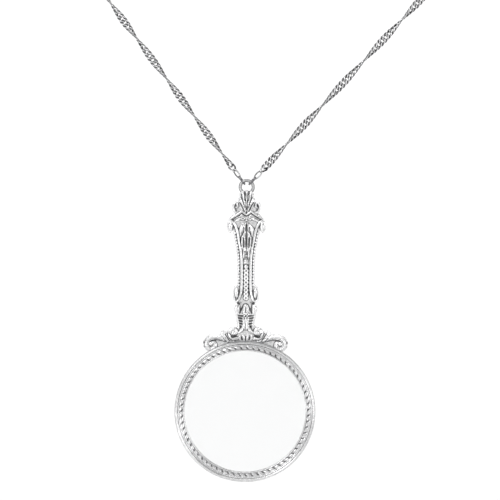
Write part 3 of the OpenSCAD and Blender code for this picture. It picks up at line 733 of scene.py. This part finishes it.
def rope_border(sizes):
    """The rope in the ring's bed. Its half width and depth swell and shrink with the phase beads x turn - turn round
    the rope: waist + (1 - waist) sqrt(1 - p p), where p runs from -1 to 1 over each bead."""
    turn = circle(sizes.border_beads * ROPE_STEPS)[:, None]
    lap = circle(ROPE_SIDES)[None, :]
    phase = sizes.border_beads * turn - lap
    saw = (phase / (2 * np.pi)) % 1 * 2 - 1
    swell = ROPE_WAIST + (1 - ROPE_WAIST) * np.sqrt(np.clip(1 - saw**2, 0, 1))
    radius = ROPE_RADIUS + ROPE_WIDE * swell * np.cos(lap)
    # Painted shade along the rope's front, deepest in the gaps between the beads.
    row = np.exp(-((radius - ROW_RADIUS) / ROW_WIDTH) ** 2) * (np.sin(lap) > 0)
    dark = ROPE_DARK + (ROW_DARK + GAP_DARK * np.clip((np.abs(saw) - GAP_START) / GAP_SPAN, 0, 1)) * row
    rope = turned(radius, ROPE_HEIGHT + ROPE_DEEP * swell * np.sin(lap), turn)
    return rope, tube_quads(len(turn), ROPE_SIDES), dark


def top_loop(sizes):
    """The loop: a round wire carried round its hole, with its lowest part in the fan's top."""
    big, wire = (sizes.loop_hole + sizes.loop_wire) / MM / 2, sizes.loop_wire / MM / 2
    turn, lap = circle(LOOP_LAPS)[:, None], circle(LOOP_SIDES)[None, :]
    loop = turned(big + wire * np.cos(lap), wire * np.sin(lap), turn) + [0, 0, loop_height(sizes)]
    # Painted shade over the loop, with a darker painted line standing in for the shade of grooves.
    line = np.exp(-((np.sin(lap) - LOOP_LINE_HEIGHT) / LOOP_LINE_WIDTH) ** 2)
    return loop, tube_quads(LOOP_LAPS, LOOP_SIDES), np.broadcast_to(LOOP_DARK + LOOP_LINE * line, loop.shape[:2])


def loop_height(sizes):
    """Height of the middle of the top loop over the middle of the lens."""
    return sizes.ring_diameter / MM / 2 + (sizes.handle_height + sizes.loop_hole / 2) / MM


def ring_surface(sizes):
    """Points, faces and darkening of the ring, its rope border and the top loop together."""
    points, quads, dark, start = [], [], [], 0
    for part, faces, shade in (ring_band(sizes), rope_border(sizes), top_loop(sizes)):
        points.append(part.reshape(-1, 3))
        quads.append(faces + start)
        dark.append(shade.ravel())
        start += shade.size
    return np.vstack(points), np.vstack(quads), np.concatenate(dark)


# ---------------------------------------------------------------- the lens


def lens_surface():
    """A clear lens with two faces of one sphere each, of the CAD lens's size. A square grid is drawn to a disc
    without a pole: across = u sqrt(1 - v v / 2), up = v sqrt(1 - u u / 2)."""
    radius = (LENS_HIGH.x - LENS_LOW.x) / 2 / MM
    middle = (LENS_HIGH.y - LENS_LOW.y) / 2 / MM
    crown = middle - LENS_EDGE / 2
    ball = (radius**2 + crown**2) / (2 * crown)
    n = LENS_CELLS
    u, v = np.meshgrid(np.linspace(-1, 1, n + 1), np.linspace(-1, 1, n + 1), indexing="ij")
    x, z = radius * u * np.sqrt(1 - v * v / 2), radius * v * np.sqrt(1 - u * u / 2)
    bulge = middle - ball + np.sqrt(ball**2 - x**2 - z**2)
    points = np.vstack([np.stack([x, -bulge, z], -1).reshape(-1, 3), np.stack([x, bulge, z], -1).reshape(-1, 3)])
    index, count = np.arange((n + 1) ** 2).reshape(n + 1, n + 1), (n + 1) ** 2
    front = np.stack([index[:-1, :-1], index[1:, :-1], index[1:, 1:], index[:-1, 1:]], -1).reshape(-1, 4)
    rim = np.concatenate([index[:-1, 0], index[-1, :-1], index[:0:-1, -1], index[0, :0:-1]])
    after = np.roll(rim, -1)
    wall = np.stack([after, rim, rim + count, after + count], -1)
    return points, np.vstack([front, front[:, ::-1] + count, wall])


# ---------------------------------------------------------------- the chain

# Measures are in millimetres. Of a pair keyed -1 and 1, the first is the left half's.
# Distances up each leg, from the middle of the loop, where the flat chain is seen edge on, and the length of a half
# turn above the last of them.
EDGE_ON = {-1: (13.0, 27.6, 42.4, 58.3, 72.0), 1: (18.8, 35.1, 54.7, 72.3)}
HALF_TURN = 16.0
# The long first link: its turn about the chain's line, the distances of its two ends from the middle of the loop,
# its width, its wire, and the points round it and round its wire.
FIRST_TURN = {-1: math.radians(40), 1: math.radians(25)}
FIRST_LOW, FIRST_HIGH, FIRST_WIDTH, FIRST_WIRE = 3.28, 7.10, 1.90, 0.45
FIRST_RINGS, FIRST_SIDES = 24, 10
FIRST_GAP = 0.04  # room between the wires of the first link and the next
CLASP_HOOK = 6.36  # how far from the nape the last link ends, inside the clasp's eye
NAPE_Y = 2.0  # depth of the chain's line at the nape
# A twisted link: the turn of each end against its middle, the share of its depth that is left when it is pressed
# flat, the length added so that links stay clear of one another, and the points round it and round its wire.
LINK_TWIST = math.radians(50)
LINK_FLAT = 0.58
LINK_SLACK = 0.05
LINK_RINGS, LINK_SIDES = 12, 6
# Painted shade on a link, where the links shade one another: its darkness in the middle of the link's depth and how
# fast that falls towards its faces, the share of it that is not on the wire's inner side alone, and the further
# darkness of that inner side. The first link has an even painted shade and a share of the same.
MIDDLE_DARK, MIDDLE_FALL, ALL_ROUND, INNER_DARK, INNER_FROM = 2.2, 2.6, 0.55, 1.1, 0.45
FIRST_DARK = (0.2, 0.6)


class Route:
    """The line of one half of the chain: a straight leg in front, a bend over the shoulder and half the neck."""

    def __init__(self, sizes, side):
        self.side = side
        self.lean = lean = sizes.lean_left if side < 0 else sizes.lean_right
        self.up = np.array([side * math.sin(lean), 0, math.cos(lean)])
        self.shoulder = sizes.shoulder_radius / MM
        self.loop = LENS_CENTRE + [0, 0, loop_height(sizes)]
        drop = -self.loop[2]
        self.leg = drop / self.up[2] - self.shoulder
        self.neck = abs(self.loop[0] + side * math.tan(lean) * drop)
        self.length = self.leg + self.shoulder * math.pi / 2 + self.neck * math.pi / 2

    def hook(self):
        """Distance along the line to the last link's end, inside the clasp's eye."""
        return self.length - self.neck * math.asin(CLASP_HOOK / self.neck)

    def at(self, s):
        """Points, directions and sideways directions at distances s along the line."""
        s = np.asarray(s, float)
        bend = np.clip((s - self.leg) / self.shoulder, 0, math.pi / 2)
        turn = np.clip((s - self.leg - self.shoulder * math.pi / 2) / self.neck, 0, None)
        point = self.loop + (np.minimum(s, self.leg) + self.shoulder * np.sin(bend))[:, None] * self.up
        point[:, 1] += self.shoulder * (1 - np.cos(bend))
        heading = np.cos(bend)[:, None] * self.up + np.sin(bend)[:, None] * np.array([0, 1.0, 0])
        right = np.broadcast_to(np.cross([0, 1.0, 0], self.up), point.shape)
        centre = NAPE_Y - self.neck
        on_neck = turn > 0
        swung = self.side * turn
        round_neck = np.stack([self.side * self.neck * np.cos(turn), centre + self.neck * np.sin(turn), 0 * turn], 1)
        point = np.where(on_neck[:, None], round_neck, point)
        spin = lambda v: np.stack([v[:, 0] * np.cos(swung) - v[:, 1] * np.sin(swung),
                                   v[:, 0] * np.sin(swung) + v[:, 1] * np.cos(swung), v[:, 2]], 1)
        heading = np.where(on_neck[:, None], spin(heading), heading)
        right = np.where(on_neck[:, None], spin(right), right)
        return point, heading, right


def ribbon_angle(route, s):
    """The flat chain's turn about its line: half a turn from one edge-on place to the next, then an even twist that
    brings the last link's end square to the clasp's eye."""
    marks = np.array(EDGE_ON[route.side])
    start, hook = marks[0] - (marks[1] - marks[0]), route.hook()
    wanted = (route.side * route.lean - LINK_TWIST) / math.pi
    steady = len(marks) - 0.5 + (hook - marks[-1]) / HALF_TURN
    turns = np.concatenate([[-0.5], np.arange(len(marks)) + 0.5, [wanted + round(steady - wanted)]])
    return np.interp(s, np.concatenate([[start], marks, [hook]]), turns) * math.pi


def link_shape(length, width, wire, twist, flat, rings, sides):
    """One closed wire link about the origin. Along, across and out of the chain its line is a cos t,
    b sin t cos(twist cos t) and b sin t sin(twist cos t); a round wire is carried along it, and the depth is pressed
    flat by one factor. Its painted shade is most on the wire's inner side and in the middle of the link's depth."""
    a, b = (length - wire) / 2, (width - wire) / 2
    t = circle(rings)
    turned_by = lambda t: twist * np.cos(t)
    line_at = lambda t: np.stack(
        [a * np.cos(t), b * np.sin(t) * np.cos(turned_by(t)), b * np.sin(t) * np.sin(turned_by(t))], -1)
    line = line_at(t)
    tangent = line_at(t + 1e-4) - line_at(t - 1e-4)
    tangent /= np.linalg.norm(tangent, axis=1, keepdims=True)
    outward = line / [a * a, b * b, b * b]
    outward -= (outward * tangent).sum(1, keepdims=True) * tangent
    outward /= np.linalg.norm(outward, axis=1, keepdims=True)
    third = np.cross(tangent, outward)
    lap = (np.arange(sides) + 0.5) * 2 * np.pi / sides
    # The corners of the wire's few sides lie as far outside its round as the middles of the sides lie inside it.
    reach = wire / 2 / np.cos(np.pi / sides) ** 0.5
    spread = np.cos(lap)[None, :, None] * outward[:, None, :] + np.sin(lap)[None, :, None] * third[:, None, :]
    ring = (line[:, None, :] + reach * spread).reshape(-1, 3) * [1, 1, flat]
    middle = np.abs(ring[:, 2]) / np.abs(ring[:, 2]).max()
    inner = np.tile(0.5 - 0.5 * np.cos(lap), rings)
    shade = np.clip(MIDDLE_DARK - MIDDLE_FALL * middle, 0, 1) * (ALL_ROUND + (1 - ALL_ROUND) * inner)
    shade += INNER_DARK * inner * (inner > INNER_FROM)
    return ring, tube_quads(rings, sides, flip=True), np.clip(shade, 0, 1)


def lay_links(route, shape, places, angle_at):
    """Carries a link's points onto the route: each point goes to its own distance along the line, and across and
    out from it by the chain's turn there, so the links bend and twist together and stay clear of each other."""
    ring, quads, shade = shape
    along = (places[:, None] + ring[None, :, 0]).ravel()
    across, out = np.tile(ring[:, 1], len(places)), np.tile(ring[:, 2], len(places))
    point, heading, right = route.at(along)
    angle = angle_at(along)[:, None]
    side = np.cos(angle) * right + np.sin(angle) * np.cross(right, heading)
    point = point + across[:, None] * side + out[:, None] * np.cross(side, heading)
    starts = np.arange(len(places)) * len(ring)
    return point, (quads[None] + starts[:, None, None]).reshape(-1, 4), np.tile(shade, len(places))


def chain_surface(sizes, side):
    """One half of the chain: a long first link in the end ring, then the twisted flat links up to the clasp. Each
    link passes through the next two."""
    route = Route(sizes, side)
    pitch, wire, width = sizes.link_pitch / MM, sizes.link_wire / MM, sizes.link_width / MM
    length = 2 * pitch + 2 * wire + LINK_SLACK
    low = FIRST_HIGH - FIRST_WIRE - wire - FIRST_GAP + length / 2
    high = route.hook() + wire / 2 - length / 2
    places = np.linspace(low, high, int(round((high - low) / pitch)) + 1)
    twisted = link_shape(length, width, wire, LINK_TWIST, LINK_FLAT, LINK_RINGS, LINK_SIDES)
    oval = link_shape(FIRST_HIGH - FIRST_LOW, FIRST_WIDTH, FIRST_WIRE, 0.0, 1.0, FIRST_RINGS, FIRST_SIDES)
    links = lay_links(route, twisted, places, lambda s: ribbon_angle(route, s))
    first_place = np.array([(FIRST_LOW + FIRST_HIGH) / 2])
    first = lay_links(route, oval, first_place, lambda s: np.full(len(s), FIRST_TURN[side]))
    return (np.vstack([links[0], first[0]]), np.vstack([links[1], first[1] + len(links[0])]),
            np.concatenate([links[2], FIRST_DARK[0] + FIRST_DARK[1] * first[2]]))


# ---------------------------------------------------------------- finishes

# The sockets of a Mix node that mixes colours.
MIX_SHARE, MIX_FIRST, MIX_SECOND, MIX_RESULT = 0, 6, 7, 2


def new_finish(name):
    """An empty material with its shader, and a function that adds a node and sets its inputs."""
    material = bpy.data.materials.new(name)
    material.use_nodes = True
    tree = material.node_tree
    tree.nodes.clear()
    output = tree.nodes.new("ShaderNodeOutputMaterial")
    shader = tree.nodes.new("ShaderNodeBsdfPrincipled")
    tree.links.new(shader.outputs["BSDF"], output.inputs["Surface"])

    def add(kind, inputs=(), **settings):
        node = tree.nodes.new(kind)
        for key, value in settings.items():
            setattr(node, key, value)
        for key, value in dict(inputs).items():
            if isinstance(value, bpy.types.NodeSocket):
                tree.links.new(value, node.inputs[key])
            else:
                node.inputs[key].default_value = value
        return node

    return material, shader, add, tree.links.new


def noise_at(add, place, scale, detail):
    """Cloudy variation on the object's own coordinates, in grains of one over scale metres."""
    return add("ShaderNodeTexNoise", {"Vector": place, "Scale": scale, "Detail": detail}).outputs["Fac"]


def metal_finish(name, bright, dark, smooth, worn, grain_scale, grain_depth, with_patina_and_shade):
    """Polished metal: its colour falls to the dark tone where the vertex darkness paints patina and shade, and in
    cloudy stains, its gloss wanders between smooth and worn, and a fine casting grain breaks its highlights."""
    material, shader, add, link = new_finish(name)
    place = add("ShaderNodeTexCoord").outputs["Object"]
    cloud = noise_at(add, place, scale=420.0, detail=4.0)
    stain = add("ShaderNodeMapRange",
                {"Value": cloud, "From Min": 0.35, "From Max": 0.75, "To Max": 0.14}).outputs["Result"]
    if with_patina_and_shade:
        speck = noise_at(add, place, scale=2600.0, detail=2.0)
        # The vertex darkness holds patina and painted shade; a fine speck breaks its edge.
        patina_and_shade = add("ShaderNodeAttribute", attribute_name="patina_and_shade").outputs["Fac"]
        jitter = add("ShaderNodeMath", {0: speck, 1: 0.5}, operation="SUBTRACT").outputs[0]
        rough_edge = add("ShaderNodeMath", {0: jitter, 1: 0.5, 2: patina_and_shade}, operation="MULTIPLY_ADD").outputs[0]
        deep = add("ShaderNodeMapRange", {"Value": rough_edge, "From Min": 0.12, "From Max": 0.85, "To Max": 0.86},
                   interpolation_type="SMOOTHSTEP").outputs["Result"]
        amount = add("ShaderNodeMath", {0: stain, 1: deep}, operation="ADD", use_clamp=True).outputs[0]
    else:
        amount = stain
    colour = add("ShaderNodeMix", {MIX_SHARE: amount, MIX_FIRST: bright, MIX_SECOND: dark}, data_type="RGBA")
    link(colour.outputs[MIX_RESULT], shader.inputs["Base Color"])
    gloss = add("ShaderNodeMapRange", {"Value": cloud, "From Min": 0.3, "From Max": 0.7, "To Min": smooth,
                                       "To Max": worn}).outputs["Result"]
    if with_patina_and_shade:
        gloss = add("ShaderNodeMath", {0: amount, 1: 0.30, 2: gloss}, operation="MULTIPLY_ADD").outputs[0]
    link(gloss, shader.inputs["Roughness"])
    grain = noise_at(add, place, scale=grain_scale, detail=3.0)
    bump = add("ShaderNodeBump", {"Height": grain, "Strength": 0.35, "Distance": grain_depth})
    link(bump.outputs["Normal"], shader.inputs["Normal"])
    shader.inputs["Metallic"].default_value = 1.0
    return material


def glass_finish(name, tint):
    """Clear polished glass with a faint handling haze."""
    material, shader, add, link = new_finish(name)
    place = add("ShaderNodeTexCoord").outputs["Object"]
    haze = noise_at(add, place, scale=60.0, detail=4.0)
    rough = add("ShaderNodeMapRange",
                {"Value": haze, "From Min": 0.45, "From Max": 0.8, "To Min": 0.0, "To Max": 0.03}).outputs["Result"]
    link(rough, shader.inputs["Roughness"])
    shader.inputs["Base Color"].default_value = tint
    shader.inputs["IOR"].default_value = 1.5
    shader.inputs["Transmission Weight"].default_value = 1.0
    return material


def paper_finish(name, colour):
    """Matt seamless paper with a barely visible tooth."""
    material, shader, add, link = new_finish(name)
    place = add("ShaderNodeTexCoord").outputs["Object"]
    tooth = noise_at(add, place, scale=90.0, detail=3.0)
    shaded = tuple(0.985 * c for c in colour[:3]) + (1.0,)
    tone = add("ShaderNodeMix", {MIX_SHARE: tooth, MIX_FIRST: colour, MIX_SECOND: shaded}, data_type="RGBA")
    link(tone.outputs[MIX_RESULT], shader.inputs["Base Color"])
    shader.inputs["Roughness"].default_value = 0.9
    shader.inputs["Specular IOR Level"].default_value = 0.1
    return material


def dress(node, material):
    """Gives a carried-over CAD node its finish."""
    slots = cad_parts[node].data.materials
    slots.clear()
    slots.append(material)


# ---------------------------------------------------------------- operators


class PENDANT_OT_casting(bpy.types.Operator):
    """Build the cast handle with its crest, ring and top loop"""

    bl_idname = "pendant.casting"
    bl_label = "Casting"

    def execute(self, context):
        sizes, colours = context.scene.pendant_sizes, context.scene.pendant_colours
        finish = metal_finish("antique_silver", tuple(colours.silver), tuple(colours.patina_and_shade_tone), smooth=0.16, worn=0.30,
                              grain_scale=5200.0, grain_depth=0.00004, with_patina_and_shade=True)
        points, quads, dark = casting_surface(sizes)
        handle = mesh_piece("cast_handle", to_row_frame(points), quads, finish, math.radians(52), dark)
        points, quads, dark = ring_surface(sizes)
        ring = mesh_piece("cast_ring", to_row_frame(points), quads, finish, math.radians(50), dark)
        for piece in (handle, ring):
            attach(piece, "pendant")
            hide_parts("frame")
        return {"FINISHED"}


class PENDANT_OT_lens(bpy.types.Operator):
    """Build the magnifying lens"""

    bl_idname = "pendant.lens"
    bl_label = "Lens"

    def execute(self, context):
        points, quads = lens_surface()
        finish = glass_finish("lens_glass", tuple(context.scene.pendant_colours.glass))
        lens = mesh_piece("clear_lens", to_row_frame(points), quads, finish, math.radians(40))
        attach(lens, "pendant")
        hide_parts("lens")
        return {"FINISHED"}


class PENDANT_OT_chain(bpy.types.Operator):
    """Build the two halves of the twisted chain, link by link"""

    bl_idname = "pendant.chain"
    bl_label = "Chain"

    # Colour of the painted shade in the chain's gaps.
    CHAIN_SHADE = (0.012, 0.012, 0.013, 1)

    def execute(self, context):
        finish = metal_finish("chain_silver", tuple(context.scene.pendant_colours.chain), self.CHAIN_SHADE, smooth=0.14,
                              worn=0.28, grain_scale=5200.0, grain_depth=0.00003, with_patina_and_shade=True)
        for side, title, name in ((-1, "links_left", "chain_left"), (1, "links_right", "chain_right")):
            points, quads, shade = chain_surface(context.scene.pendant_sizes, side)
            links = mesh_piece(title, points * MM, quads, finish, None, shade)
            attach(links, "chain")
            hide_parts(name)
        return {"FINISHED"}


class PENDANT_OT_carried(bpy.types.Operator):
    """Give the end rings and the clasp their finishes"""

    bl_idname = "pendant.carried"
    bl_label = "Rings and clasp"

    STAIN = (0.10, 0.10, 0.105, 1)

    def execute(self, context):
        colours = context.scene.pendant_colours
        # The end rings' dark colour is painted shade.
        wire = metal_finish("ring_wire", tuple(colours.wire), self.STAIN, smooth=0.20, worn=0.34, grain_scale=5200.0,
                            grain_depth=0.00003, with_patina_and_shade=False)
        # The clasp's darker colour is painted shade.
        clasp = metal_finish("clasp_silver", tuple(colours.clasp), self.STAIN, smooth=0.18, worn=0.30,
                             grain_scale=3800.0, grain_depth=0.00003, with_patina_and_shade=False)
        dress("end_ring_left", wire)
        dress("end_ring_right", wire)
        dress("clasp", clasp)
        return {"FINISHED"}


def placed(holder, side, up, back, place):
    """Stands a lamp or camera at a place: its own x, y and z run along side, up and back."""
    rows = [(side[k], up[k], back[k], place[k]) for k in range(3)]
    holder.matrix_world = Matrix((*rows, (0, 0, 0, 1)))
    bpy.context.scene.collection.objects.link(holder)


def area_light(target, name, place, width, height, power):
    """A soft rectangular lamp aimed at a point, out of the camera's sight."""
    lamp = bpy.data.lights.new(name, "AREA")
    lamp.shape, lamp.size, lamp.size_y, lamp.energy = "RECTANGLE", width, height, power
    aim = np.array(target, float) - place
    aim /= np.linalg.norm(aim)
    side = np.cross(aim, [0, 0, 1.0])
    side /= np.linalg.norm(side)
    holder = bpy.data.objects.new(name, lamp)
    placed(holder, side, np.cross(side, aim), -aim, place)
    holder.visible_camera = False


class PENDANT_OT_studio(bpy.types.Operator):
    """Set up the pale sweep, the soft lights and the camera"""

    bl_idname = "pendant.studio"
    bl_label = "Studio"

    # The sweep, in metres: height of the floor and of the wall's top, reach of the flat floor and the cove's radius.
    FLOOR, WALL_TOP, FLAT, COVE = -0.9, 1.5, 1.4, 1.0
    SWEEP_TURNS = 96
    SKY, SKY_STRENGTH = (0.9, 0.9, 0.9, 1), 0.39
    # Name, place, width and height in metres, and power in watts. The four lamps are aimed at the pendant's middle.
    LAMPS = (
        ("key", (-0.9, -1.3, 0.9), 0.9, 0.9, 9.9), ("fill", (1.3, -1.1, 0.1), 0.7, 1.2, 5.2),
        ("low", (-1.1, -1.2, -0.6), 0.9, 0.7, 3.6), ("top", (0.1, -0.2, 1.3), 1.2, 1.0, 6.4),
    )
    ABOVE_LENS = 0.03
    WASH, WASH_TARGET = ("backdrop_wash", (0.0, 0.3, 1.35), 2.0, 0.8, 26), (0, 2.4, -0.3)
    # The picture: its side and the ring's middle in pixels, millimetres to a pixel at the lens, and the roll at which
    # the pendant hangs in it. The focal length and the sensor are in millimetres.
    PICTURE, RING_PIXEL = 500, (244.96, 411.16)
    MM_PER_PIXEL = 0.31582
    ROLL = math.radians(0.46)
    FOCAL, SENSOR = 120.0, 36.0

    def sweep(self, paper):
        """A bowl round the object: a flat floor, a quarter-round cove and an upright wall, turned about Z."""
        flat = np.linspace(0.02, self.FLAT, 8)
        arc = np.linspace(0, math.pi / 2, 17)[1:]
        wall = np.linspace(self.FLOOR + self.COVE, self.WALL_TOP, 6)[1:]
        r = np.concatenate([flat, self.FLAT + self.COVE * np.sin(arc), np.full(len(wall), self.FLAT + self.COVE)])
        z = np.concatenate([np.full(len(flat), self.FLOOR), self.FLOOR + self.COVE * (1 - np.cos(arc)), wall])
        turn = circle(self.SWEEP_TURNS)[:, None]
        points = np.stack([r * np.cos(turn), r * np.sin(turn), z + 0 * turn], -1).reshape(-1, 3)
        n = len(r)
        i, j = np.meshgrid(np.arange(self.SWEEP_TURNS), np.arange(n - 1), indexing="ij")
        after = (i + 1) % self.SWEEP_TURNS
        quads = np.stack([i * n + j, i * n + j + 1, after * n + j + 1, after * n + j], -1).reshape(-1, 4)
        bowl = mesh_piece("backdrop", points, quads, paper)

    def lights(self, scene):
        """A pale even sky, four lamps on the pendant and one on the wall behind it."""
        world = bpy.data.worlds.new("studio")
        scene.world = world
        world.use_nodes = True
        sky = world.node_tree.nodes["Background"]
        sky.inputs["Color"].default_value = self.SKY
        sky.inputs["Strength"].default_value = self.SKY_STRENGTH
        for lamp in self.LAMPS:
            area_light(LENS_CENTRE * MM + [0, 0, self.ABOVE_LENS], *lamp)
        area_light(self.WASH_TARGET, *self.WASH)

    def camera(self, scene):
        """A frontal camera, rolled as the photograph hangs, that puts the ring on its place in the picture."""
        across = np.array([math.cos(self.ROLL), 0, math.sin(self.ROLL)])
        up = np.array([-math.sin(self.ROLL), 0, math.cos(self.ROLL)])
        right_mm = (self.RING_PIXEL[0] - self.PICTURE / 2) * self.MM_PER_PIXEL
        up_mm = (self.PICTURE / 2 - self.RING_PIXEL[1]) * self.MM_PER_PIXEL
        middle = LENS_CENTRE - right_mm * across - up_mm * up
        distance = self.PICTURE * self.MM_PER_PIXEL * self.FOCAL / self.SENSOR
        data = bpy.data.cameras.new("camera")
        data.lens, data.sensor_width, data.clip_start, data.clip_end = self.FOCAL, self.SENSOR, 0.01, 50
        scene.camera = bpy.data.objects.new("camera", data)
        placed(scene.camera, across, up, (0, -1, 0), (middle - [0, distance, 0]) * MM)

    def execute(self, context):
        scene = context.scene
        self.sweep(paper_finish("paper", tuple(scene.pendant_colours.paper)))
        self.lights(scene)
        scene.view_settings.view_transform = "Standard"
        self.camera(scene)
        return {"FINISHED"}


class PENDANT_PT_panel(bpy.types.Panel):
    """The pendant's sizes, colours and pieces"""

    bl_idname = "PENDANT_PT_panel"
    bl_label = "Magnifier pendant"
    bl_space_type = "VIEW_3D"
    bl_region_type = "UI"
    bl_category = "Pendant"

    def draw(self, context):
        """Lists the sizes and colours, and a button for each operator."""
        for heading, group in (("Sizes", context.scene.pendant_sizes), ("Colours", context.scene.pendant_colours)):
            box = self.layout.box()
            box.label(text=heading)
            for name in group.__annotations__:
                box.prop(group, name)
        for operator in OPERATORS:
            self.layout.operator(operator.bl_idname)


OPERATORS = (PENDANT_OT_casting, PENDANT_OT_lens, PENDANT_OT_chain, PENDANT_OT_carried, PENDANT_OT_studio)
CLASSES = (PendantSizes, PendantColours, *OPERATORS, PENDANT_PT_panel)


def register():
    """Makes the classes and the two property groups known."""
    for cls in CLASSES:
        bpy.utils.register_class(cls)
    bpy.types.Scene.pendant_sizes = PointerProperty(type=PendantSizes)
    bpy.types.Scene.pendant_colours = PointerProperty(type=PendantColours)


def unregister():
    """Takes away what register added."""
    del bpy.types.Scene.pendant_colours
    del bpy.types.Scene.pendant_sizes
    for cls in reversed(CLASSES):
        bpy.utils.unregister_class(cls)


def main():
    """Builds every piece in order."""
    register()
    bpy.ops.pendant.casting()
    bpy.ops.pendant.lens()
    bpy.ops.pendant.chain()
    bpy.ops.pendant.carried()
    bpy.ops.pendant.studio()


if __name__ == "__main__":
    main()
